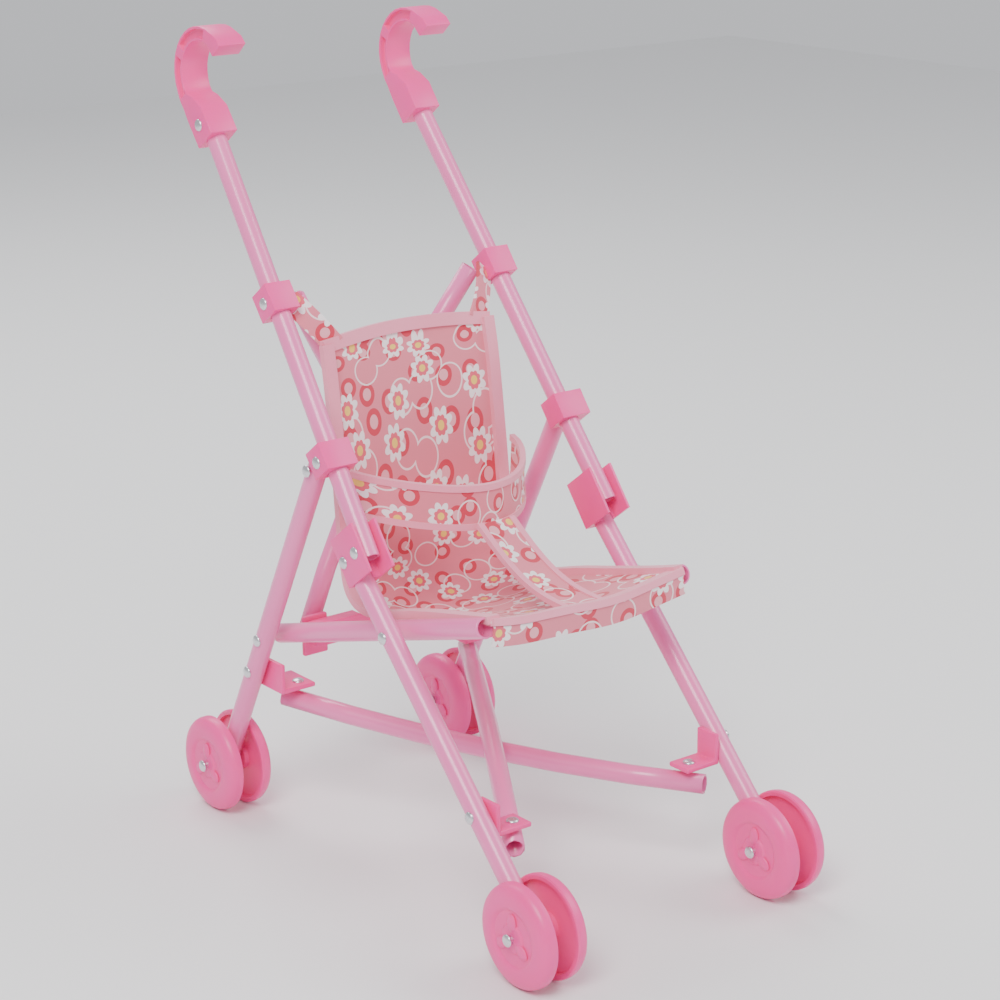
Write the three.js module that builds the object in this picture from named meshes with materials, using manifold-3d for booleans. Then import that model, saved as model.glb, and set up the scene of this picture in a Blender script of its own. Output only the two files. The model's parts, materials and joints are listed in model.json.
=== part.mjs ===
// Doll stroller: a folding umbrella frame of light steel tube with moulded brackets and a fabric sling seat.
// Millimetres, +Z up, the front of the stroller faces -Y, left is -X.
import * as THREE from "three";
import { mergeVertices } from "three/addons/utils/BufferGeometryUtils.js";
import Module from "manifold-3d";

// Driving dimensions
const wheelDiameter = 62;
const wheelWidth = 11;
const wheelbase = 319;
const halfTrack = 92; // centre plane of a leg, between its two wheels
const tubeDiameter = 12.5;
const tubeWall = 1.2;
const clearance = 0.35; // around anything that passes through a bracket
const frontLegSlope = 43.9; // degrees from vertical
const frontLegLength = 252; // axle to the end inside the latch
const rearLegSlope = 27.3;
const rearLegLength = 256;
const handleSlope = 37.4;
const handleLength = 304;
const handleOverhang = 5; // tube below its pivot in the latch
const clipDistance = 169; // along the handle tube, from its lower end
const sideBracketDistance = 64;
const handleLean = 13.5; // how far the handle tube leans inward over its length
const linkPlane = 74.5; // centre plane of the seat side tubes
const axleDiameter = 5;
const latchWidth = 18;
const hookWidth = 19;
const hookRadius = 34; // centre line of the hook's curve
const hookThickness = 10;
const lowerBraceBow = 6.9; // each lower brace bows clear of the other where they cross
const upperBraceBow = 15.2; // only the rear one bows
const strutHeight = 15;
const fabricThickness = 3;
const seatSideGap = 4.25; // between the sling and each seat side tube

const rad = THREE.MathUtils.degToRad;
const tubeRadius = tubeDiameter / 2;
const seatHalfWidth = linkPlane - tubeRadius - seatSideGap;
const wheelRadius = wheelDiameter / 2;
const frontAxle = { y: -wheelbase / 2, z: wheelRadius };
const rearAxle = { y: wheelbase / 2, z: wheelRadius };
const frontDir = { y: Math.sin(rad(frontLegSlope)), z: Math.cos(rad(frontLegSlope)) };
const rearDir = { y: -Math.sin(rad(rearLegSlope)), z: Math.cos(rad(rearLegSlope)) };
const handleDir = { y: Math.sin(rad(handleSlope)), z: Math.cos(rad(handleSlope)) };
const along = (from, dir, distance) => ({ y: from.y + dir.y * distance, z: from.z + dir.z * distance });
const behind = (p, dir, distance) => ({ y: p.y + dir.z * distance, z: p.z - dir.y * distance });

// Pivots in the side plane
const legTop = along(frontAxle, frontDir, frontLegLength - 9);
const latchPivot = behind(legTop, handleDir, -14.3);
const handleBottom = along(latchPivot, handleDir, -handleOverhang);
const linkFrontPivot = along(frontAxle, frontDir, 191);
const linkRearPivot = along(rearAxle, rearDir, 109.6);
const frontBracePivot = along(frontAxle, frontDir, 73);
const rearBracePivot = along(rearAxle, rearDir, 82);
const upperClip = along(handleBottom, handleDir, clipDistance);
const sideBracket = along(handleBottom, handleDir, sideBracketDistance);
const rearLegPivot = along(rearAxle, rearDir, rearLegLength - 5);

const wasm = await Module();
wasm.setup();

function solid(geometry) {
  const plain = geometry.index ? geometry.toNonIndexed() : geometry.clone();
  plain.deleteAttribute("normal");
  plain.deleteAttribute("uv");
  const merged = mergeVertices(plain, 1e-3);
  return new wasm.Manifold(
    new wasm.Mesh({
      numProp: 3,
      vertProperties: new Float32Array(merged.attributes.position.array),
      triVerts: new Uint32Array(merged.index.array),
    }),
  );
}

function geometryOf(body) {
  const mesh = body.getMesh();
  const geometry = new THREE.BufferGeometry();
  geometry.setAttribute("position", new THREE.BufferAttribute(mesh.vertProperties, 3));
  geometry.setIndex(new THREE.BufferAttribute(mesh.triVerts, 1));
  const flat = geometry.toNonIndexed();
  flat.computeVertexNormals();
  return flat;
}

const stroller = new THREE.Group();
const finish = {
  pinkTube: { color: 0xffaad7, roughness: 0.3, metalness: 0.25 },
  hotPlastic: { color: 0xff5aa8, roughness: 0.35, metalness: 0 },
  steel: { color: 0xd0d0d4, roughness: 0.25, metalness: 1 },
  fabric: { color: 0xe88a96, roughness: 0.9, metalness: 0 },
};

function piece(name, body, look) {
  const mesh = new THREE.Mesh(geometryOf(body), new THREE.MeshStandardMaterial(finish[look]));
  mesh.name = name;
  stroller.add(mesh);
}

// A straight rod or tube from one point to another
function placeBetween(geometry, from, to) {
  const start = new THREE.Vector3(...from);
  const dir = new THREE.Vector3(...to).sub(start).normalize();
  const turn = new THREE.Quaternion().setFromUnitVectors(new THREE.Vector3(0, 0, 1), dir);
  return geometry.applyQuaternion(turn).translate(...from);
}

function span(from, to) {
  return new THREE.Vector3(...from).distanceTo(new THREE.Vector3(...to));
}

function ring(radius, inner, sides) {
  const shape = new THREE.Shape().absarc(0, 0, radius, 0, Math.PI * 2);
  if (inner > 0) shape.holes.push(new THREE.Path().absarc(0, 0, inner, 0, Math.PI * 2, true));
  return { shape, curveSegments: sides };
}

function rod(from, to, radius, inner = 0, sides = 6) {
  const { shape, curveSegments } = ring(radius, inner, sides);
  const options = { depth: span(from, to), bevelEnabled: false, curveSegments };
  return solid(placeBetween(new THREE.ExtrudeGeometry(shape, options), from, to));
}

const tube = (from, to) => rod(from, to, tubeRadius, tubeRadius - tubeWall);

// An outline in the side plane, given as [y, z] points, made solid between two planes of x
function plate(outline, x0, x1) {
  const shape = new THREE.Shape(outline.map(([y, z]) => new THREE.Vector2(y, z)));
  const geometry = new THREE.ExtrudeGeometry(shape, { depth: Math.abs(x1 - x0), bevelEnabled: false });
  const turn = new THREE.Matrix4().set(0, 0, 1, Math.min(x0, x1), 1, 0, 0, 0, 0, 1, 0, 0, 0, 0, 0, 1);
  return solid(geometry.applyMatrix4(turn));
}

// A rectangle in the side plane that follows a tube: lengths along it and across it, front side positive
function strip(point, dir, low, high, back, front) {
  return [
    [low, back],
    [low, front],
    [high, front],
    [high, back],
  ].map(([a, c]) => [point.y + dir.y * a - dir.z * c, point.z + dir.z * a + dir.y * c]).reverse();
}

function block(x0, x1, y0, y1, z0, z1) {
  const geometry = new THREE.BoxGeometry(Math.abs(x1 - x0), y1 - y0, z1 - z0);
  return solid(geometry.translate((x0 + x1) / 2, (y0 + y1) / 2, (z0 + z1) / 2));
}

const handleX = (distance) => halfTrack - 1.4 - (handleLean * distance) / handleLength;
const at = (side, x, p) => [side * x, p.y, p.z];

function handlePoint(side, distance) {
  return at(side, handleX(distance), along(handleBottom, handleDir, distance));
}

const handleBore = (side) =>
  rod(handlePoint(side, -40), handlePoint(side, handleLength + 0.5), tubeRadius + clearance);

function hook(side) {
  const mid = handleX(handleLength);
  const top = along(handleBottom, handleDir, handleLength);
  const faces = [side * (mid - hookWidth / 2), side * (mid + hookWidth / 2)];
  const sleeve = plate(strip(top, handleDir, -24, 8, -10.5, 10.5), ...faces);
  const centre = { y: top.y - 12, z: top.z + 8 };
  const outline = [];
  const steps = 14;
  for (let i = 0; i <= steps; i++) {
    const a = rad(-28 + (150 * i) / steps);
    outline.push([centre.y + hookRadius * Math.cos(a), centre.z + hookRadius * Math.sin(a)]);
  }
  for (let i = steps; i >= 0; i--) {
    const a = rad(-28 + (150 * i) / steps);
    const r = hookRadius - hookThickness;
    outline.push([centre.y + r * Math.cos(a), centre.z + r * Math.sin(a)]);
  }
  const curl = plate(outline, ...faces);
  return sleeve.add(curl).subtract(handleBore(side));
}

function latch(side) {
  const x = handleX(handleOverhang);
  const outline = strip(latchPivot, handleDir, -15, 16, -19, 8);
  const shell = plate(outline, side * (x - latchWidth / 2), side * (x + latchWidth / 2));
  const channel = plate(strip(latchPivot, handleDir, -40, 40, -7.4, 30), side * (x - 7.3), side * (x + 7.3));
  const legEnd = along(legTop, frontDir, 9.3);
  const swing = rod(at(side, x - 7.3, latchPivot), at(side, x + 7.3, latchPivot), 8.6, 0, 8);
  const legBore = rod(at(side, halfTrack, frontAxle), at(side, halfTrack, legEnd), tubeRadius + clearance);
  return shell.subtract(channel).subtract(swing).subtract(legBore);
}

function wheel(x0, x1, centre) {
  const bore = axleDiameter / 2 + clearance;
  const half = wheelWidth / 2;
  const profile = [
    [bore, -half],
    [wheelRadius * 0.8, -half],
    [wheelRadius, -half + 1],
    [wheelRadius, half - 3],
    [wheelRadius * 0.9, half - 0.6],
    [wheelRadius * 0.55, half],
    [wheelRadius * 0.45, half - 1.6],
    [bore, half - 1.6],
    [bore, -half],
  ].map(([r, y]) => new THREE.Vector2(r, y));
  const geometry = new THREE.LatheGeometry(profile, 24);
  const outward = Math.sign(x1 - x0);
  geometry.rotateZ((-outward * Math.PI) / 2);
  return solid(geometry.translate((x0 + x1) / 2, centre.y, centre.z));
}

for (const [hand, side] of [["left", -1], ["right", 1]]) {
  const outerX = halfTrack + tubeRadius + 1;
  const innerX = halfTrack - tubeRadius - 1;
  for (const [end, axle, dir, length] of [
    ["front", frontAxle, frontDir, frontLegLength],
    ["rear", rearAxle, rearDir, rearLegLength],
  ]) {
    const boreEnds = [at(side, halfTrack - 30, axle), at(side, halfTrack + 30, axle)];
    const axleBore = rod(...boreEnds, axleDiameter / 2 + clearance);
    const leg = tube(at(side, halfTrack, along(axle, dir, -9)), at(side, halfTrack, along(axle, dir, length)));
    piece(`${end}_leg_${hand}`, leg.subtract(axleBore), "pinkTube");
    piece(
      `${end}_axle_${hand}`,
      rod(at(side, innerX - wheelWidth - 1, axle), at(side, outerX + wheelWidth + 1, axle), axleDiameter / 2),
      "steel",
    );
    piece(`${end}_wheel_outer_${hand}`, wheel(side * outerX, side * (outerX + wheelWidth), axle), "hotPlastic");
    piece(`${end}_wheel_inner_${hand}`, wheel(side * innerX, side * (innerX - wheelWidth), axle), "hotPlastic");
  }

  piece(`handle_tube_${hand}`, tube(handlePoint(side, 0), handlePoint(side, handleLength)), "pinkTube");
  piece(`hook_grip_${hand}`, hook(side), "hotPlastic");
  piece(`latch_${hand}`, latch(side), "hotPlastic");

  const clipX = handleX(clipDistance);
  const clip = plate(strip(upperClip, handleDir, -9, 9, -9, 9), side * (clipX - 9), side * (clipX + 9));
  piece(`handle_clip_${hand}`, clip.subtract(handleBore(side)), "hotPlastic");

  const bracketX = handleX(sideBracketDistance);
  const yoke = plate(strip(sideBracket, handleDir, -8, 9, -7.6, 9), side * (bracketX - 9.5), side * (halfTrack + 8));
  const slotEnd = at(side, halfTrack, along(rearLegPivot, rearDir, 9));
  const rearLegSlot = rod(at(side, halfTrack, rearAxle), slotEnd, tubeRadius + clearance);
  piece(`side_bracket_${hand}`, yoke.subtract(handleBore(side)).subtract(rearLegSlot), "hotPlastic");

  const linkDir = { y: linkRearPivot.y - linkFrontPivot.y, z: linkRearPivot.z - linkFrontPivot.z };
  const linkSpan = Math.hypot(linkDir.y, linkDir.z);
  const unit = { y: linkDir.y / linkSpan, z: linkDir.z / linkSpan };
  const linkFront = at(side, linkPlane, along(linkFrontPivot, unit, -70));
  const linkRear = at(side, linkPlane, along(linkRearPivot, unit, 9));
  piece(`seat_side_tube_${hand}`, tube(linkFront, linkRear), "pinkTube");
}

// Moulded angle brackets that carry the ends of the lower braces
const flangeDrop = 13.7;
const braceX = 68;
function angleBracket(side, p, flangeY) {
  const lugX = halfTrack - tubeRadius - clearance;
  const flangeZ = p.z - flangeDrop + 1;
  const low = Math.min(p.y, flangeY) - 8;
  const high = Math.max(p.y, flangeY) + 8;
  const lug = block(side * (lugX - 3), side * lugX, low, high, flangeZ, p.z + 7);
  return lug.add(block(side * (braceX - 8), side * (lugX - 1), low, high, flangeZ, flangeZ + 3));
}
const frontFlangeY = frontBracePivot.y - 1;
const rearFlangeY = rearBracePivot.y - 12;
for (const [hand, side] of [["left", -1], ["right", 1]]) {
  piece(`lower_bracket_front_${hand}`, angleBracket(side, frontBracePivot, frontFlangeY), "hotPlastic");
  piece(`lower_bracket_rear_${hand}`, angleBracket(side, rearBracePivot, rearFlangeY), "hotPlastic");
}

// A bowed tube: both ends on the same line as its partner, the middle clear of it
function bowedTube(from, to, bow) {
  const middle = new THREE.Vector3(...from).lerp(new THREE.Vector3(...to), 0.5).add(bow);
  const path = new THREE.QuadraticBezierCurve3(
    new THREE.Vector3(...from),
    middle.clone().multiplyScalar(2).sub(new THREE.Vector3(...from).lerp(new THREE.Vector3(...to), 0.5)),
    new THREE.Vector3(...to),
  );
  const { shape } = ring(tubeRadius, tubeRadius - tubeWall, 5);
  const options = { steps: 6, extrudePath: path, curveSegments: 5, bevelEnabled: false };
  return solid(new THREE.ExtrudeGeometry(shape, options));
}

const braceDrop = flangeDrop - 1 + tubeRadius + 2.6;
const overhang = 10;
function lowerBrace(side, bowSign) {
  const front = new THREE.Vector3(side * braceX, frontFlangeY, frontBracePivot.z - braceDrop);
  const rear = new THREE.Vector3(-side * braceX, rearFlangeY, rearBracePivot.z - braceDrop);
  const dir = rear.clone().sub(front).normalize();
  front.addScaledVector(dir, -overhang);
  rear.addScaledVector(dir, overhang);
  return bowedTube(front.toArray(), rear.toArray(), new THREE.Vector3(0, 0, bowSign * lowerBraceBow));
}
piece("lower_brace_left_to_right", lowerBrace(-1, 1), "pinkTube");
piece("lower_brace_right_to_left", lowerBrace(1, -1), "pinkTube");

const strutY = linkRearPivot.y - 12;
const strutX = linkPlane - tubeRadius - 3.7;
const footPlateFront = strutY + 5.4;
const footPlateThickness = 3.6;
const footPlateRise = 14; // of the plate above the brace's foot
const footPlateBack = footPlateFront + footPlateThickness;
const upperBraceFootX = linkPlane - 16.5;
const upperBraceLean = (upperClip.y + 4 - footPlateBack - tubeRadius) / (upperClip.z - linkRearPivot.z);
const upperBraceReach = tubeRadius * Math.hypot(1, upperBraceLean);
const upperBraceFootY = footPlateBack + upperBraceReach + footPlateRise * Math.abs(upperBraceLean);
const upperBraceHeadX = handleX(clipDistance) - 9 - tubeRadius - 1;
function upperBrace(side, bowed) {
  const head = [side * upperBraceHeadX, upperClip.y + 4, upperClip.z];
  const foot = [-side * upperBraceFootX, upperBraceFootY, linkRearPivot.z - 4];
  return bowedTube(head, foot, new THREE.Vector3(0, bowed * upperBraceBow, 0));
}
piece("upper_brace_left_to_right", upperBrace(-1, 0), "pinkTube");
piece("upper_brace_right_to_left", upperBrace(1, 1), "pinkTube");

// Folding strut across the back: two channel halves that lap at the middle
function strutHalf(side) {
  const z = linkRearPivot.z - strutHeight / 2;
  const channel = block(side * 30, side * strutX, strutY - 5, strutY + 5, z, z + strutHeight);
  const pocket = block(side * 33, side * (strutX - 3), strutY + 2 - 5, strutY + 6, z + 2, z + strutHeight - 2);
  const ear = side < 0 ? [-5, -0.4] : [0.4, 5];
  const lap = block(side * 32, -side * 9, strutY + ear[0], strutY + ear[1], z + 1, z + strutHeight - 1);
  return channel.subtract(pocket).add(lap);
}
piece("rear_strut_left", strutHalf(-1), "hotPlastic");
piece("rear_strut_right", strutHalf(1), "hotPlastic");

// Foot brackets of the upper braces, between the seat side tubes and the strut
for (const [hand, side] of [["left", -1], ["right", 1]]) {
  const z = linkRearPivot.z;
  const outerEdge = side * (linkPlane - tubeRadius - 1.5);
  const face = block(side * (upperBraceFootX - 9), outerEdge, footPlateFront, footPlateBack, z - 16, z + 10);
  piece(`upper_brace_foot_${hand}`, face, "hotPlastic");
}

// Fabric sling: one strip from the front hem to the top of the back
const sling = [
  [linkFrontPivot.y - 72, linkFrontPivot.z + 23],
  [linkFrontPivot.y - 20, linkFrontPivot.z + 4],
  [linkFrontPivot.y + 62, linkFrontPivot.z - 12],
  [linkRearPivot.y - 52, linkRearPivot.z + 36],
  [linkRearPivot.y - 45, linkRearPivot.z + 80],
  [upperClip.y - 19, upperClip.z - 29],
];
const thick = sling.map(([y, z]) => [y - fabricThickness * 0.7, z + fabricThickness * 0.7]).reverse();
piece("seat_sling", plate([...sling, ...thick], -seatHalfWidth, seatHalfWidth), "fabric");

const bounds = new THREE.Box3().setFromObject(stroller);
stroller.position.set(0, -(bounds.min.y + bounds.max.y) / 2, -bounds.min.z);

export default stroller;
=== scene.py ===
import bpy
import json
import math
from mathutils import Vector, Matrix


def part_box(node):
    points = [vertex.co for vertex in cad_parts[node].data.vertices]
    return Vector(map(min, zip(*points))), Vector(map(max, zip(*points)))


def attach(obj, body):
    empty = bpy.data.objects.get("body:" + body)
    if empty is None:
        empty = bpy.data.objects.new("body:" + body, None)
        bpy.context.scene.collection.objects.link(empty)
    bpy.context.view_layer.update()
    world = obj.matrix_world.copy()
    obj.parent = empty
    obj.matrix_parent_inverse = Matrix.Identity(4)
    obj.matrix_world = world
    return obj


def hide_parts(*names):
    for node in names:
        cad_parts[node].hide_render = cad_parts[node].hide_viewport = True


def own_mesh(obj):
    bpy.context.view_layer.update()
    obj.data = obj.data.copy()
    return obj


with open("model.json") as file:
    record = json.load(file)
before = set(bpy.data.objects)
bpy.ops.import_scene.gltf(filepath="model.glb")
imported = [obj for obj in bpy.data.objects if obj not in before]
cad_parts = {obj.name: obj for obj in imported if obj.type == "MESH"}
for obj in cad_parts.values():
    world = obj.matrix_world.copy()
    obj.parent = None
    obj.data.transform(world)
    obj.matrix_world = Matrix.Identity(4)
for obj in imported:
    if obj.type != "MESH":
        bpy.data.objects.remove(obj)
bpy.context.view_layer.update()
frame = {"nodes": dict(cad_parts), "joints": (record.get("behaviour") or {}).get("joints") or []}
mm = 0.001
print("frame loaded")

# metres, degrees of roll, millimetres of lens
view = {
    "place": (-0.9073, -1.1841, 0.6826), "target": (0.01039, -0.00533, 0.22531),
    "roll": -0.46, "lens": 92.67,
}
stageForm = {
    "floor": 6, "below": 0.5 * mm, "sky": (0.95, 0.96, 1, 1), "skyStrength": 0.7, "aim": (0, 0, 0.2),
    # place, size and power of each softbox
    "lamps": (((-1.3, -1.0, 1.9), 1.0, 48), ((1.5, -0.9, 1.5), 1.2, 20), ((0.2, 1.5, 1.8), 1.2, 24)),
}


def makeCamera():
    camData = bpy.data.cameras.new("camera")
    camData.lens = view["lens"]
    cam = bpy.data.objects.new("camera", camData)
    bpy.context.scene.collection.objects.link(cam)
    look = Vector(view["target"]) - Vector(view["place"])
    turn = look.to_track_quat("-Z", "Y").to_matrix().to_4x4()
    roll = Matrix.Rotation(math.radians(view["roll"]), 4, "Z")
    cam.matrix_world = Matrix.Translation(view["place"]) @ turn @ roll
    bpy.context.scene.camera = cam


def makeMaterial(name, colour, rough, **sockets):
    mat = bpy.data.materials.new(name)
    mat.use_nodes = True
    shader = mat.node_tree.nodes["Principled BSDF"]
    shader.inputs["Base Color"].default_value = (*colour, 1)
    shader.inputs["Roughness"].default_value = rough
    for socket, value in sockets.items():
        shader.inputs[socket.replace("_", " ")].default_value = value
    return mat, mat.node_tree, shader


def deselectAll():
    if bpy.context.object and bpy.context.object.mode != "OBJECT":
        bpy.ops.object.mode_set(mode="OBJECT")
    bpy.ops.object.select_all(action="DESELECT")


def settle(name, mat=None, body=None, smooth=35):
    piece = bpy.context.object
    bpy.ops.object.mode_set(mode="OBJECT")
    bpy.ops.object.transform_apply(location=True, rotation=True, scale=True)
    piece.name = name
    if smooth:
        bpy.ops.object.shade_smooth_by_angle(angle=math.radians(smooth))
    if mat:
        piece.data.materials.clear()
        piece.data.materials.append(mat)
    if body:
        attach(piece, body)
    return piece


def makeStage():
    deselectAll()
    bpy.ops.mesh.primitive_plane_add(size=stageForm["floor"], location=(0, 0, -stageForm["below"]))
    floorMat, _, _ = makeMaterial("paleFloor", (0.86, 0.86, 0.86), 0.75)
    settle("floor", floorMat, smooth=0)
    world = bpy.data.worlds.new("studio")
    bpy.context.scene.world = world
    world.use_nodes = True
    world.node_tree.nodes["Background"].inputs["Color"].default_value = stageForm["sky"]
    world.node_tree.nodes["Background"].inputs["Strength"].default_value = stageForm["skyStrength"]
    for place, size, power in stageForm["lamps"]:
        lampData = bpy.data.lights.new("softbox", "AREA")
        lampData.size = size
        lampData.energy = power
        lamp = bpy.data.objects.new("softbox", lampData)
        bpy.context.scene.collection.objects.link(lamp)
        aim = Vector(stageForm["aim"]) - Vector(place)
        lamp.matrix_world = Matrix.Translation(place) @ aim.to_track_quat("-Z", "Y").to_matrix().to_4x4()


makeCamera()
makeStage()
print("camera, floor and light made")


def mottleGroup():
    # slow colour drift and fine grain: mask for colour, height for bump
    group = bpy.data.node_groups.new("surfaceMottle", "ShaderNodeTree")
    group.interface.new_socket("Scale", in_out="INPUT", socket_type="NodeSocketFloat")
    group.interface.new_socket("Drift", in_out="OUTPUT", socket_type="NodeSocketFloat")
    group.interface.new_socket("Grain", in_out="OUTPUT", socket_type="NodeSocketFloat")
    nodes, links = group.nodes, group.links
    entry, leave = nodes.new("NodeGroupInput"), nodes.new("NodeGroupOutput")
    coords = nodes.new("ShaderNodeTexCoord")
    slow, fine = nodes.new("ShaderNodeTexNoise"), nodes.new("ShaderNodeTexNoise")
    slow.inputs["Scale"].default_value = 22
    links.new(coords.outputs["Object"], slow.inputs["Vector"])
    links.new(coords.outputs["Object"], fine.inputs["Vector"])
    links.new(entry.outputs["Scale"], fine.inputs["Scale"])
    links.new(slow.outputs["Fac"], leave.inputs["Drift"])
    links.new(fine.outputs["Fac"], leave.inputs["Grain"])
    return group


mottle = mottleGroup()


def addMottle(tree, shader, dark, light, grainScale, bump, roughLow, roughHigh):
    nodes, links = tree.nodes, tree.links
    effect = nodes.new("ShaderNodeGroup")
    effect.node_tree = mottle
    effect.inputs["Scale"].default_value = grainScale
    ramp = nodes.new("ShaderNodeMix")
    ramp.data_type = "RGBA"
    ramp.inputs["A"].default_value = (*dark, 1)
    ramp.inputs["B"].default_value = (*light, 1)
    links.new(effect.outputs["Drift"], ramp.inputs["Factor"])
    links.new(ramp.outputs["Result"], shader.inputs["Base Color"])
    gloss = nodes.new("ShaderNodeMapRange")
    gloss.inputs["To Min"].default_value = roughLow
    gloss.inputs["To Max"].default_value = roughHigh
    links.new(effect.outputs["Grain"], gloss.inputs["Value"])
    links.new(gloss.outputs["Result"], shader.inputs["Roughness"])
    bumpNode = nodes.new("ShaderNodeBump")
    bumpNode.inputs["Strength"].default_value = bump
    bumpNode.inputs["Distance"].default_value = 0.0003
    links.new(effect.outputs["Grain"], bumpNode.inputs["Height"])
    links.new(bumpNode.outputs["Normal"], shader.inputs["Normal"])


def pinkEnamel():
    coat = {"Coat_Weight": 0.35, "Coat_Roughness": 0.15}
    mat, tree, shader = makeMaterial("pinkEnamel", (0.9, 0.36, 0.6), 0.3, **coat)
    addMottle(tree, shader, (0.86, 0.16, 0.42), (0.93, 0.2, 0.48), 900, 0.12, 0.24, 0.36)
    return mat


def hotPlastic():
    depth = {"Subsurface_Weight": 0.12, "Subsurface_Scale": 0.004}
    mat, tree, shader = makeMaterial("hotPlastic", (0.95, 0.1, 0.36), 0.35, **depth)
    addMottle(tree, shader, (0.93, 0.045, 0.29), (1.0, 0.075, 0.36), 1400, 0.15, 0.3, 0.42)
    return mat


def rivetSteel():
    mat, tree, shader = makeMaterial("rivetSteel", (0.72, 0.72, 0.74), 0.3, Metallic=1.0)
    addMottle(tree, shader, (0.62, 0.62, 0.65), (0.8, 0.8, 0.82), 1800, 0.1, 0.2, 0.38)
    return mat


def satinBinding():
    mat, tree, shader = makeMaterial("satinBinding", (0.95, 0.4, 0.52), 0.5, Sheen_Weight=0.4)
    addMottle(tree, shader, (0.86, 0.24, 0.36), (0.95, 0.34, 0.46), 2600, 0.5, 0.42, 0.6)
    return mat


def printedCloth():
    # flowers, ovals and thin arcs scattered over a salmon ground, laid out on the cloth's UV map
    mat, tree, shader = makeMaterial("printedCloth", (0.8, 0.2, 0.27), 0.8, Sheen_Weight=0.3)
    nodes, links = tree.nodes, tree.links
    uv = nodes.new("ShaderNodeUVMap")

    def calculate(kind, a, b):
        node = nodes.new("ShaderNodeMath")
        node.operation = kind
        for socket, value in zip(node.inputs, (a, b)):
            if isinstance(value, (int, float)):
                socket.default_value = value
            else:
                links.new(value, socket)
        return node.outputs[0]

    def cells(scale, offset):
        shift = nodes.new("ShaderNodeMapping")
        shift.inputs["Location"].default_value = (offset, offset * 0.7, 0)
        links.new(uv.outputs["UV"], shift.inputs["Vector"])
        node = nodes.new("ShaderNodeTexVoronoi")
        node.voronoi_dimensions = "2D"
        node.inputs["Scale"].default_value = scale
        node.inputs["Randomness"].default_value = 0.75
        links.new(shift.outputs["Vector"], node.inputs["Vector"])
        return node, shift.outputs["Vector"]

    def paint(base, mask, colour):
        mix = nodes.new("ShaderNodeMix")
        mix.data_type = "RGBA"
        links.new(mask, mix.inputs["Factor"])
        if isinstance(base, tuple):
            mix.inputs["A"].default_value = (*base, 1)
        else:
            links.new(base, mix.inputs["A"])
        mix.inputs["B"].default_value = (*colour, 1)
        return mix.outputs["Result"]

    def petals(cell, shifted, count, low, high):
        # distance from the cell's centre, scalloped by the angle round it
        away = nodes.new("ShaderNodeVectorMath")
        away.operation = "SUBTRACT"
        links.new(shifted, away.inputs[0])
        links.new(cell.outputs["Position"], away.inputs[1])
        split = nodes.new("ShaderNodeSeparateXYZ")
        links.new(away.outputs["Vector"], split.inputs[0])
        angle = calculate("ARCTAN2", split.outputs["Y"], split.outputs["X"])
        wave = calculate("ABSOLUTE", calculate("SINE", calculate("MULTIPLY", angle, count / 2), 0), 0)
        edge = calculate("ADD", calculate("MULTIPLY", wave, high - low), low)
        return calculate("LESS_THAN", cell.outputs["Distance"], edge)

    flower, flowerShifted = cells(34, 0.31)
    oval, _ = cells(48, 1.87)
    arc, _ = cells(38, 3.3)
    outerOval = calculate("LESS_THAN", oval.outputs["Distance"], 0.3)
    innerOval = calculate("LESS_THAN", oval.outputs["Distance"], 0.16)
    ground = paint((0.78, 0.2, 0.27), outerOval, (0.62, 0.03, 0.07))
    ground = paint(ground, innerOval, (0.86, 0.36, 0.42))
    near = calculate("LESS_THAN", arc.outputs["Distance"], 0.37)
    far = calculate("GREATER_THAN", arc.outputs["Distance"], 0.33)
    ground = paint(ground, calculate("MULTIPLY", near, far), (0.93, 0.72, 0.74))
    ground = paint(ground, petals(flower, flowerShifted, 8, 0.2, 0.31), (0.93, 0.85, 0.86))
    ground = paint(ground, petals(flower, flowerShifted, 8, 0.14, 0.17), (0.78, 0.1, 0.16))
    heart = calculate("LESS_THAN", flower.outputs["Distance"], 0.08)
    ground = paint(ground, heart, (0.9, 0.62, 0.12))
    links.new(ground, shader.inputs["Base Color"])
    weave = nodes.new("ShaderNodeTexWave")
    weave.inputs["Scale"].default_value = 420
    links.new(uv.outputs["UV"], weave.inputs["Vector"])
    bump = nodes.new("ShaderNodeBump")
    bump.inputs["Strength"].default_value = 0.35
    bump.inputs["Distance"].default_value = 0.0002
    links.new(weave.outputs["Fac"], bump.inputs["Height"])
    links.new(bump.outputs["Normal"], shader.inputs["Normal"])
    return mat


enamel = pinkEnamel()
plastic = hotPlastic()
steel = rivetSteel()
binding = satinBinding()
cloth = printedCloth()
print("materials made")

# open-ended round tubes, drawn over the straight ones of the frame
tubeForm = {
    "radius": 6.25 * mm, "wall": 1.2 * mm, "sides": 40, "mouth": 8 * mm,
    "lip": 0.25 * mm, "lipRise": 0.2 * mm,
}
mouldedRound = 0.9 * mm


def tubeEnds(node, rearward, inward):
    # axis ends of a slanted tube, found from the box of its node
    low, high = Vector(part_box(node)[0]), Vector(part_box(node)[1])
    size, r = high - low, tubeForm["radius"]
    slope = math.atan2(size.y, size.z)
    for _ in range(20):
        dy, dz = size.y - 2 * r * math.cos(slope), size.z - 2 * r * math.sin(slope)
        slope = math.atan2(dy, dz)
    y0, y1 = (low.y + high.y - dy) / 2, (low.y + high.y + dy) / 2
    z0, z1 = (low.z + high.z - dz) / 2, (low.z + high.z + dz) / 2
    x = (low.x + high.x) / 2
    lean = (size.x - 2 * r) / 2 * math.copysign(1, x) if inward else 0
    start = Vector((x + lean, y0 if rearward else y1, z0))
    return start, Vector((x - lean, y1 if rearward else y0, z1))


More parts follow.
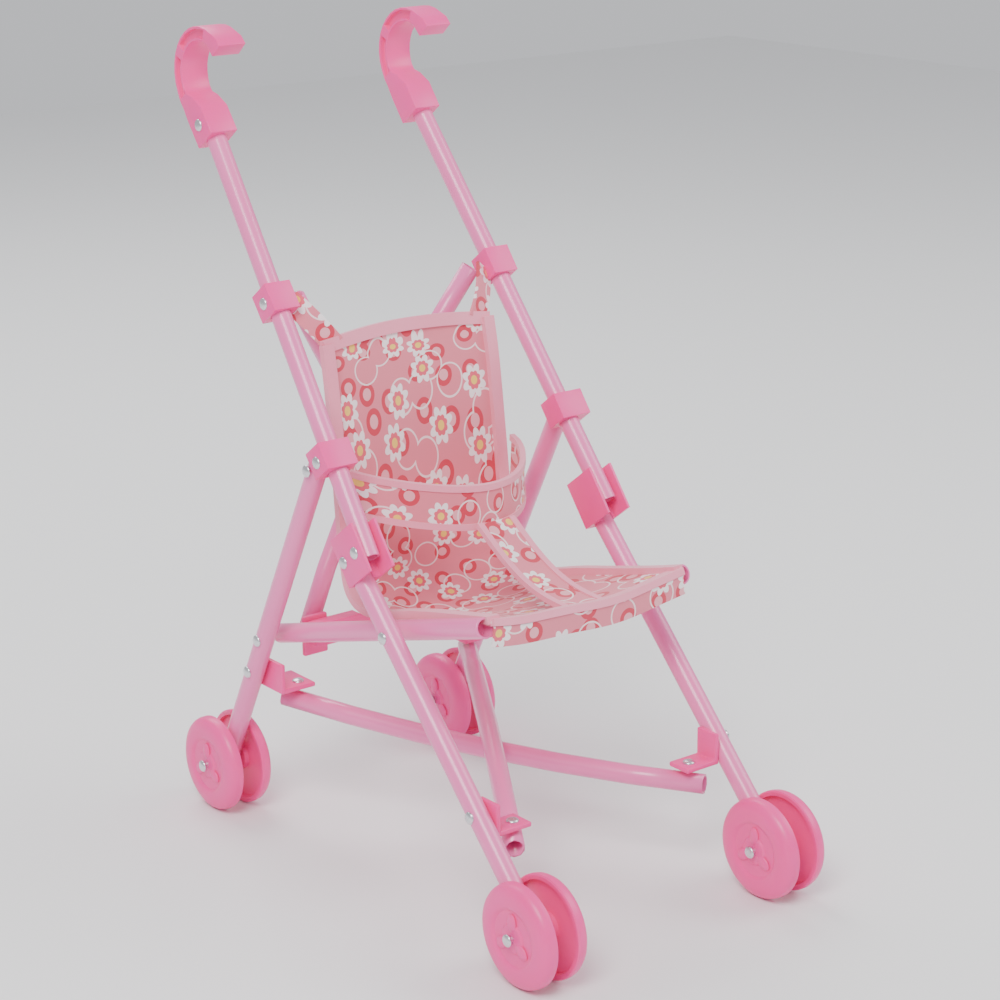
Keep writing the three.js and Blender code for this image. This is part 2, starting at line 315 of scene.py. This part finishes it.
def makeTube(name, start, end, body, node):
    deselectAll()
    span = end - start
    bpy.ops.mesh.primitive_cylinder_add(
        vertices=tubeForm["sides"], radius=tubeForm["radius"], depth=span.length,
    )
    bpy.ops.object.mode_set(mode="EDIT")
    for way in (-1, 1):
        bpy.ops.mesh.select_mode(type="FACE")
        bpy.ops.mesh.select_all(action="DESELECT")
        bpy.ops.object.mode_set(mode="OBJECT")
        for face in bpy.context.object.data.polygons:
            face.select = face.normal.z * way > 0.9
        bpy.ops.object.mode_set(mode="EDIT")
        bpy.ops.mesh.inset(thickness=tubeForm["lip"], depth=tubeForm["lipRise"])
        bpy.ops.mesh.inset(thickness=tubeForm["wall"] - tubeForm["lip"], depth=0)
        hollow = (0, 0, -way * tubeForm["mouth"])
        bpy.ops.mesh.extrude_region_move(TRANSFORM_OT_translate={"value": hollow})
    bpy.ops.object.mode_set(mode="OBJECT")
    turn = span.to_track_quat("Z", "Y").to_matrix().to_4x4()
    bpy.context.object.matrix_world = Matrix.Translation((start + end) / 2) @ turn
    piece = settle(name, enamel, body)
    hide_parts(node)


def smoothCopy(node, body, mat, bevel=0.0):
    # a CAD solid welded, its flat faces joined, its edges rounded as a moulding's are
    deselectAll()
    source = frame["nodes"][node]
    piece = source.copy()
    piece.data = source.data.copy()
    piece.parent = None
    for key in list(piece.keys()):
        del piece[key]
    bpy.context.scene.collection.objects.link(piece)
    piece.matrix_world = Matrix.Identity(4)
    piece.select_set(True)
    bpy.context.view_layer.objects.active = piece
    bpy.ops.object.mode_set(mode="EDIT")
    bpy.ops.mesh.select_all(action="SELECT")
    bpy.ops.mesh.remove_doubles(threshold=0.02 * mm)
    if bevel:
        bpy.ops.mesh.dissolve_limited(angle_limit=math.radians(2))
    bpy.ops.object.mode_set(mode="OBJECT")
    if bevel:
        rounding = piece.modifiers.new("edges", "BEVEL")
        rounding.width = bevel
        rounding.segments = 3
        rounding.limit_method = "ANGLE"
        rounding.angle_limit = math.radians(38)
        bpy.ops.object.modifier_apply(modifier="edges")
    shown = settle(node + "_shape", mat, body, 50)
    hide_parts(node)


sides = (("left", -1), ("right", 1))
for hand, side in sides:
    for node, body, rearward, lean in (
        ("front_leg", "front_leg", True, 0), ("rear_leg", "rear_leg", False, 0),
        ("handle_tube", "handle", True, 1), ("seat_side_tube", "seat_side", False, 0),
    ):
        ends = tubeEnds(f"{node}_{hand}", rearward, lean)
        makeTube(f"{node}_{hand}_painted", *ends, f"{body}_{hand}", f"{node}_{hand}")
    for node, body in (
        ("latch", "front_leg"), ("handle_clip", "handle"), ("side_bracket", "handle"),
        ("lower_bracket_front", "front_brace_bracket"), ("lower_bracket_rear", "rear_brace_bracket"),
        ("upper_brace_foot", "brace_foot"), ("rear_strut", "strut"),
    ):
        smoothCopy(f"{node}_{hand}", f"{body}_{hand}", plastic, mouldedRound)
for level in ("lower", "upper"):
    for way in ("left_to_right", "right_to_left"):
        smoothCopy(f"{level}_brace_{way}", f"{level}_brace_{way}", enamel)
print("tubes and brackets made")

# steps: share of the radius and rise in mm of each ring from the rim to the hub
# back: inset and depth in mm of the rim, the hollow, the hub boss and its top
wheelForm = {
    "sides": 64, "radius": 31 * mm, "backShare": 0.97, "chamfer": 0.6 * mm,
    "steps": (
        (1.0, 2.5), (0.985, 2.0), (0.95, 1.7), (0.88, 1.4), (0.78, 0.8), (0.62, 0.4), (0.57, -0.5),
        (0.53, -0.9), (0.3, 0.0), (0.26, 1.0), (0.13, 0.3),
    ),
    "back": ((2.2, 0), (0.6, -3.2), (18.5, 0), (0.5, 2.6), (2, 0)),
}
lobeForm = {
    "count": 3, "first": 90, "sunk": 2.2 * mm, "ring": 9.6 * mm,
    "half": (1.2 * mm, 5.6 * mm, 3.6 * mm),
}


def makeWheel(name, node, outward):
    low, high = Vector(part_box(node)[0]), Vector(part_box(node)[1])
    middle, r, backShare = (low + high) / 2, wheelForm["radius"], wheelForm["backShare"]
    inner = low.x if outward > 0 else high.x
    deselectAll()
    bpy.ops.mesh.primitive_circle_add(vertices=wheelForm["sides"], radius=r * backShare, fill_type="NGON")
    bpy.ops.object.mode_set(mode="EDIT")
    bpy.ops.mesh.extrude_region_move(TRANSFORM_OT_translate={"value": (0, 0, wheelForm["chamfer"])})
    bpy.ops.transform.resize(value=(1 / backShare, 1 / backShare, 1))
    share = 1.0
    for nextShare, rise in wheelForm["steps"]:
        bpy.ops.mesh.extrude_region_move(TRANSFORM_OT_translate={"value": (0, 0, rise * mm)})
        bpy.ops.transform.resize(value=(nextShare / share, nextShare / share, 1))
        share = nextShare
    # the back is a shallow hollow with a hub boss
    bpy.ops.mesh.select_all(action="DESELECT")
    bpy.ops.object.mode_set(mode="OBJECT")
    faces = sorted(bpy.context.object.data.polygons, key=lambda f: f.center.z)
    faces[0].select = True
    bpy.ops.object.mode_set(mode="EDIT")
    for thickness, depth in wheelForm["back"]:
        bpy.ops.mesh.inset(thickness=thickness * mm, depth=depth * mm)
    bpy.ops.mesh.select_all(action="SELECT")
    bpy.ops.mesh.normals_make_consistent(inside=False)
    bpy.ops.object.mode_set(mode="OBJECT")
    wheel = bpy.context.object
    turn = Matrix.Rotation(math.radians(90 * outward), 4, "Y")
    wheel.matrix_world = Matrix.Translation((inner, middle.y, middle.z)) @ turn
    piece = settle(name, plastic, node, 30)
    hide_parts(node)
    # raised lobes round the hub
    face, ring = (high.x if outward > 0 else low.x) - outward * lobeForm["sunk"], lobeForm["ring"]
    for k in range(lobeForm["count"]):
        angle = math.radians(lobeForm["first"] + 360 / lobeForm["count"] * k)
        deselectAll()
        bpy.ops.mesh.primitive_uv_sphere_add(segments=24, ring_count=12, radius=1)
        lobe = bpy.context.object
        place = Vector((face, middle.y + ring * math.cos(angle), middle.z + ring * math.sin(angle)))
        grow = Matrix.Diagonal((*lobeForm["half"], 1))
        lobe.matrix_world = Matrix.Translation(place) @ Matrix.Rotation(angle, 4, "X") @ grow
        settle(f"{name}_lobe_{k}", plastic, node, 60)


for hand, side in sides:
    for end in ("front", "rear"):
        makeWheel(f"{end}_wheel_outer_{hand}_disc", f"{end}_wheel_outer_{hand}", side)
        makeWheel(f"{end}_wheel_inner_{hand}_disc", f"{end}_wheel_inner_{hand}", -side)
        axle = frame["nodes"][f"{end}_axle_{hand}"]
        axle.material_slots[0].material = steel
print("wheels made")

# stem: length, shift across and thickness of each stretch between the socket and the bow
hookForm = {
    "radius": 25.5 * mm, "thick": 8.5 * mm, "turns": 15, "turn": 11.8, "tip": 2.5 * mm, "tipTurns": 2,
    "foot": 23 * mm, "socket": (19 * mm, 6 * mm), "round": 1.1 * mm,
    "stem": ((12 * mm, 0, 19 * mm), (10 * mm, 2.0 * mm, 13.5 * mm), (5 * mm, 2.2 * mm, 9.5 * mm)),
    "pockets": ((0, 5), (6, 12)), "pocketRim": 1.5 * mm, "pocketSlope": 0.3 * mm, "pocketDepth": 3.4 * mm,
}


def clearFaces():
    # nothing of the active mesh is selected, and faces are what is picked next
    bpy.ops.object.mode_set(mode="EDIT")
    bpy.ops.mesh.select_mode(type="FACE")
    bpy.ops.mesh.select_all(action="DESELECT")
    bpy.ops.object.mode_set(mode="OBJECT")


def makeHook(hand, side):
    node = f"hook_grip_{hand}"
    low, high = Vector(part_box(node)[0]), Vector(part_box(node)[1])
    x, wide = (low.x + high.x) / 2, high.x - low.x
    tubeTop = tubeEnds(f"handle_tube_{hand}", True, 1)
    lean = (tubeTop[1] - tubeTop[0]).normalized()
    slope = math.atan2(lean.y, lean.z)
    foot = tubeTop[1] - lean * hookForm["foot"]
    foot.x = x
    # the ribbon: a section drawn out step by step along the curve
    deselectAll()
    bpy.ops.mesh.primitive_cube_add(size=1, location=(0, 0, 0))
    start = bpy.context.object
    frameAt = Matrix.Translation(foot) @ Matrix.Rotation(-slope, 4, "X")
    deep, tall = hookForm["socket"]
    middle = Matrix.Translation((0, 0, tall / 2))
    start.matrix_world = frameAt @ middle @ Matrix.Diagonal((wide, deep, tall, 1))
    bpy.ops.object.transform_apply(location=True, rotation=True, scale=True)
    forward = Vector((0, math.sin(slope), math.cos(slope)))
    across = Vector((0, math.cos(slope), -math.sin(slope)))
    clearFaces()
    top = max(start.data.polygons, key=lambda f: f.center.dot(forward))
    for face in start.data.polygons:
        face.select = face.index == top.index
    bpy.ops.object.mode_set(mode="EDIT")
    here = foot + forward * tall

    def draw(step, turn, thick):
        nonlocal here, forward, across
        bpy.ops.mesh.extrude_region_move(TRANSFORM_OT_translate={"value": tuple(step)})
        here = here + step
        # the section's corners are set square to the path
        bpy.ops.object.mode_set(mode="OBJECT")
        forward = Matrix.Rotation(turn, 3, "X") @ forward
        across = Matrix.Rotation(turn, 3, "X") @ across
        mesh = bpy.context.object.data
        face = next(f for f in mesh.polygons if f.select)
        for index in face.vertices:
            corner = mesh.vertices[index]
            away = corner.co - here
            sign = 1 if away.dot(Matrix.Rotation(-turn, 3, "X") @ across) > 0 else -1
            flank = Vector((math.copysign(wide / 2, corner.co.x - x), 0, 0))
            corner.co = here + across * sign * thick / 2 + flank
        bpy.ops.object.mode_set(mode="EDIT")

    for length, shift, thick in hookForm["stem"]:
        draw(forward * length + across * shift, 0, thick)
    turn = math.radians(hookForm["turn"])
    stations = []
    arcStep = hookForm["radius"] * 2 * math.sin(turn / 2)
    for k in range(hookForm["turns"]):
        half = Matrix.Rotation(turn / 2, 3, "X") @ forward
        tip = hookForm["tip"] if k >= hookForm["turns"] - hookForm["tipTurns"] else 0
        thick = hookForm["thick"] + tip
        draw(half * arcStep, turn, thick)
        stations.append(Vector(here) - half * arcStep / 2)
    bpy.ops.object.mode_set(mode="OBJECT")
    # two recessed pockets on each flat face, with a web between them
    for way in (-1, 1):
        for first, last in hookForm["pockets"]:
            clearFaces()
            for poly in start.data.polygons:
                spot = Vector((x, *Vector(poly.center).yz))
                flat = poly.normal.x * way > 0.9 and abs(poly.center.x - x) > wide / 2 - 0.1 * mm
                away = min((spot - station).length for station in stations[first:last])
                poly.select = flat and away < hookForm["pocketRim"]
            bpy.ops.object.mode_set(mode="EDIT")
            bpy.ops.mesh.inset(thickness=hookForm["pocketRim"], depth=0, use_even_offset=False)
            ledge, depth = hookForm["pocketSlope"], hookForm["pocketDepth"]
            bpy.ops.mesh.inset(thickness=ledge, depth=-depth, use_even_offset=False)
            bpy.ops.object.mode_set(mode="OBJECT")
    rounding = bpy.context.object.modifiers.new("edges", "BEVEL")
    rounding.width = hookForm["round"]
    rounding.segments = 3
    rounding.limit_method = "ANGLE"
    rounding.angle_limit = math.radians(40)
    bpy.ops.object.modifier_apply(modifier="edges")
    bpy.ops.object.mode_set(mode="EDIT")
    bpy.ops.mesh.select_all(action="SELECT")
    bpy.ops.mesh.normals_make_consistent(inside=False)
    piece = settle(f"hook_{hand}", plastic, f"handle_{hand}", 40)
    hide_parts(node)


for hand, side in sides:
    makeHook(hand, side)
print("hooks made")


# distances of the rivets: across the stroller, along the handle tube, or from a bracket's corner
rivetForm = {
    "radius": 3.8 * mm, "rise": 1.7 * mm, "linkFace": 98.2 * mm, "rearOfLatch": (11.5 * mm, 9 * mm),
    "sideBracket": 64 * mm, "clip": 169 * mm, "hook": 12 * mm,
    "axleEnds": (("outer", 111.3), ("inner", 72.7)), "flange": (68 * mm, 8 * mm, 3.2 * mm),
}


def makeRivet(name, place, axis, body):
    deselectAll()
    bpy.ops.mesh.primitive_uv_sphere_add(segments=32, ring_count=16, radius=1)
    rivet = bpy.context.object
    turn = Vector(axis).to_track_quat("Z", "Y").to_matrix().to_4x4()
    scale = Matrix.Diagonal((rivetForm["radius"], rivetForm["radius"], rivetForm["rise"], 1))
    rivet.matrix_world = Matrix.Translation(place) @ turn @ scale
    settle(name, steel, body, 60)


joints = {j["name"]: j for j in frame["joints"]}


def pivot(name):
    return Vector(joints[name]["pos_m"])


def nodeSide(node, side):
    low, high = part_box(node)
    return high[0] if side > 0 else low[0]


for hand, side in sides:
    fold = pivot("frame_fold" if hand == "left" else "handle_fold_right")
    tubeLow, tubeHigh = tubeEnds(f"handle_tube_{hand}", True, 1)
    along = (tubeHigh - tubeLow).normalized()
    outward = (side, 0, 0)
    back, down = rivetForm["rearOfLatch"]
    latchFace = nodeSide(f"latch_{hand}", side)
    bracketFace = nodeSide(f"side_bracket_{hand}", side)
    clipFace = nodeSide(f"handle_clip_{hand}", side)
    hookFace = nodeSide(f"hook_grip_{hand}", side)
    linkFace = side * rivetForm["linkFace"]
    # name, distance across, centre seen from the side, body
    spots = (
        ("latch_lower", latchFace, fold.yz, "front_leg"),
        ("latch_rear", latchFace, (fold.y + back, fold.z - down), "front_leg"),
        ("side_bracket", bracketFace, (tubeLow + along * rivetForm["sideBracket"]).yz, "handle"),
        ("rear_leg_top", bracketFace, pivot(f"rear_leg_fold_{hand}").yz, "handle"),
        ("clip", clipFace, (tubeLow + along * rivetForm["clip"]).yz, "handle"),
        ("hook", hookFace, (tubeHigh - along * rivetForm["hook"]).yz, "handle"),
        ("link_front", linkFace, pivot(f"front_leg_fold_{hand}").yz, "front_leg"),
        ("link_rear", linkFace, pivot(f"brace_foot_turn_{hand}").yz, "rear_leg"),
        ("brace_front", linkFace, pivot(f"front_brace_bracket_turn_{hand}").yz, "front_leg"),
        ("brace_rear", linkFace, pivot(f"rear_brace_bracket_turn_{hand}").yz, "rear_leg"),
    )
    for name, x, centre, body in spots:
        makeRivet(f"rivet_{name}_{hand}", Vector((x, *centre)), outward, f"{body}_{hand}")
    for end in ("front", "rear"):
        for where, x in rivetForm["axleEnds"]:
            centre = pivot(f"{end}_wheel_outer_{hand}_spin")
            place = (side * x * mm, centre.y, centre.z)
            makeRivet(f"axle_head_{end}_{where}_{hand}", place, outward, f"{end}_leg_{hand}")
        low = Vector(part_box(f"lower_bracket_{end}_{hand}")[0])
        flangeX, flangeY, flangeZ = rivetForm["flange"]
        place = (side * flangeX, low.y + flangeY, low.z + flangeZ)
        makeRivet(f"flange_rivet_{end}_{hand}", place, (0, 0, 1), f"{end}_brace_bracket_{hand}")
print("rivets made")

# path: rearward and upward places in mm along the middle of the cloth, from the front hem up the back
seatForm = {
    "half": 66, "taper": 3, "flare": 6, "flareEnd": 0.2, "across": 28, "down": 70, "sag": 9, "thick": 1.6,
    "ripple": 0.9 * mm, "crest": 5 * mm, "flat": (0.132, 0.305),
    "path": (
        (-102, 192), (-70, 184), (-20, 172), (25, 160), (48, 166), (56, 190), (62, 240), (68, 290), (73, 318),
    ),
}
bindingWidth = 8 * mm


def pathPoint(t):
    # smooth line through the path's points, t from 0 to 1
    points = [Vector((0, y * mm, z * mm)) for y, z in seatForm["path"]]
    place = t * (len(points) - 1)
    k = min(int(place), len(points) - 2)
    f = place - k
    a, b, c, d = (points[max(0, min(len(points) - 1, k + n))] for n in (-1, 0, 1, 2))
    square = (2 * a - 5 * b + 4 * c - d) * f * f
    cube = (3 * b - 3 * c + d - a) * f ** 3
    return 0.5 * (2 * b + (c - a) * f + square + cube)


def seatHalf(t):
    # the cloth narrows a little up the back and flares at the front hem
    flare = seatForm["flare"] * max(0, seatForm["flareEnd"] - t) / seatForm["flareEnd"]
    return (seatForm["half"] - seatForm["taper"] * t + flare) * mm


def seatPoint(u, t):
    # u from -1 at the left edge to 1 at the right edge
    base, ahead = pathPoint(t), pathPoint(min(1, t + 0.01)) - pathPoint(max(0, t - 0.01))
    across = Vector((0, ahead.z, -ahead.y)).normalized()
    bulge = (1 - u * u) * seatForm["sag"] * mm * (0.6 + 0.8 * math.sin(math.pi * min(1, t * 1.3)))
    ripple = seatForm["ripple"] * math.sin(9 * t + 5 * u) * (1 - u * u)
    lift = seatForm["crest"] * (1 - u * u) if t > 0.97 else 0
    return base + across * (bulge + ripple) + Vector((u * seatHalf(t), 0, lift))


def makeCloth(name, rows, columns, place, width, length, mat, slot, thick):
    deselectAll()
    bpy.ops.mesh.primitive_grid_add(x_subdivisions=columns, y_subdivisions=rows, size=2, calc_uvs=True)
    sheet = bpy.context.object
    for vertex in sheet.data.vertices:
        vertex.co = place(vertex.co.x, (vertex.co.y + 1) / 2)
    for loop in sheet.data.uv_layers.active.data:
        loop.uv = (loop.uv[0] * width, loop.uv[1] * length)
    wall = sheet.modifiers.new("wall", "SOLIDIFY")
    wall.thickness = thick * mm
    wall.offset = 0
    bpy.ops.object.modifier_apply(modifier="wall")
    piece = settle(name, mat, "seat", 60)
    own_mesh(piece)
    return piece


seat = makeCloth(
    "seat_fabric", seatForm["down"], seatForm["across"], seatPoint, *seatForm["flat"],
    cloth, "printed_fabric", seatForm["thick"],
)
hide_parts("seat_sling")


def ribbonAlong(name, points, normals, width, mat, thick):
    # a flat ribbon that follows points, laid square to the normals
    length = sum((b - a).length for a, b in zip(points, points[1:]))

    def place(u, t):
        spot = t * (len(points) - 1)
        k = min(int(spot), len(points) - 2)
        f = spot - k
        centre = points[k].lerp(points[k + 1], f)
        along = (points[k + 1] - points[k]).normalized()
        out = normals[k].lerp(normals[k + 1], f).normalized()
        return centre + along.cross(out).normalized() * u * width / 2

    makeCloth(name, len(points) * 2, 3, place, width, length, mat, "printed_fabric", thick)


def seatNormal(t):
    ahead = pathPoint(min(1, t + 0.01)) - pathPoint(max(0, t - 0.01))
    return Vector((0, -ahead.z, ahead.y)).normalized()


def edgePath(u):
    # places and normals along one side edge, just off the cloth
    count, lift = 40, 1.6 * mm
    ts = [k / count for k in range(count + 1)]
    return [seatPoint(u, t) + seatNormal(t) * lift for t in ts], [seatNormal(t) for t in ts]


for hand, side in sides:
    ribbonAlong(f"seat_binding_{hand}", *edgePath(side * 0.97), bindingWidth, binding, 4.6)
us = [-1 + k / 12 for k in range(25)]
for name, t, normalAt in (("hem_binding", 0.008, 0.01), ("top_binding", 0.992, 0.99)):
    edgeLine = [seatPoint(u, t) for u in us]
    ribbonAlong(name, edgeLine, [seatNormal(normalAt) for u in us], bindingWidth, binding, 4.4)
front = Vector((0, -1, 0))
hemLine = [seatPoint(u, 0.0) + Vector((0, -2 * mm, -8 * mm)) for u in us]
ribbonAlong("hem_strip", hemLine, [front for u in us], 12 * mm, cloth, 1.4)

# waist band from one side to the other, and the strap from its middle to the front hem
beltForm = {
    "half": 63 * mm, "y": 50 * mm, "z": 232 * mm, "out": 62 * mm, "dip": 6 * mm,
    "wide": 24 * mm, "edge": 4 * mm, "bindingRise": 12 * mm,
}
strapForm = {"drop": 10 * mm, "out": 2 * mm, "sag": 9 * mm, "wide": 24 * mm, "steps": 24, "bindingX": 12 * mm}


def beltPoint(u, rise=0.0):
    bow = math.cos(u * math.pi / 2) ** 0.7 if abs(u) < 1 else 0
    y = beltForm["y"] - beltForm["out"] * bow
    return Vector((u * beltForm["half"], y, beltForm["z"] + rise - beltForm["dip"] * bow))


def beltNormal(u):
    step = beltPoint(min(0.999, u + 0.02)) - beltPoint(max(-0.999, u - 0.02))
    return Vector((step.y, -step.x, 0)).normalized()


bandSpan = [-0.999 + 1.998 * k / 40 for k in range(41)]
bandNormals = [beltNormal(u) for u in bandSpan]
ribbonAlong("waist_band", [beltPoint(u) for u in bandSpan], bandNormals, beltForm["wide"], cloth, 1.8)
for where, way in (("upper", 1), ("lower", -1)):
    bindingLine = [beltPoint(u, way * beltForm["bindingRise"]) for u in bandSpan]
    ribbonAlong(f"waist_binding_{where}", bindingLine, bandNormals, beltForm["edge"], binding, 3.4)
strapTop = beltPoint(0, -strapForm["drop"]) + Vector((0, -strapForm["out"], 0))
strapEnd = seatPoint(0, 0.02)
strapLine = []
for k in range(strapForm["steps"] + 1):
    share = k / strapForm["steps"]
    sag = Vector((0, 0, -strapForm["sag"] * math.sin(math.pi * share)))
    strapLine.append(strapTop.lerp(strapEnd, share) + sag)
strapNormals = [Vector((0, -0.8, 0.6)) for _ in strapLine]
ribbonAlong("crotch_strap", strapLine, strapNormals, strapForm["wide"], cloth, 1.8)
for hand, side in sides:
    shifted = [p + Vector((side * strapForm["bindingX"], 0, 0)) for p in strapLine]
    ribbonAlong(f"crotch_binding_{hand}", shifted, strapNormals, beltForm["edge"], binding, 3.4)

# hangers from the clips on the handle tubes to the top corners of the back
hangerForm = {"steps": 10, "bow": 3 * mm, "wide": 14 * mm}
for hand, side in sides:
    low, high = Vector(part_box(f"handle_clip_{hand}")[0]), Vector(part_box(f"handle_clip_{hand}")[1])
    clipMiddle = (low + high) / 2
    clipInner = Vector((low.x if side > 0 else high.x, clipMiddle.y, clipMiddle.z))
    corner = seatPoint(side * 0.86, 0.985)
    hanger = []
    for k in range(hangerForm["steps"] + 1):
        share = k / hangerForm["steps"]
        bow = Vector((0, -hangerForm["bow"] * math.sin(math.pi * share), 0))
        hanger.append(clipInner.lerp(corner, share) + bow)
    facing = [Vector((0.3 * side, -1, 0.2)) for _ in hanger]
    ribbonAlong(f"hanger_{hand}", hanger, facing, hangerForm["wide"], cloth, 1.8)
print("seat made")
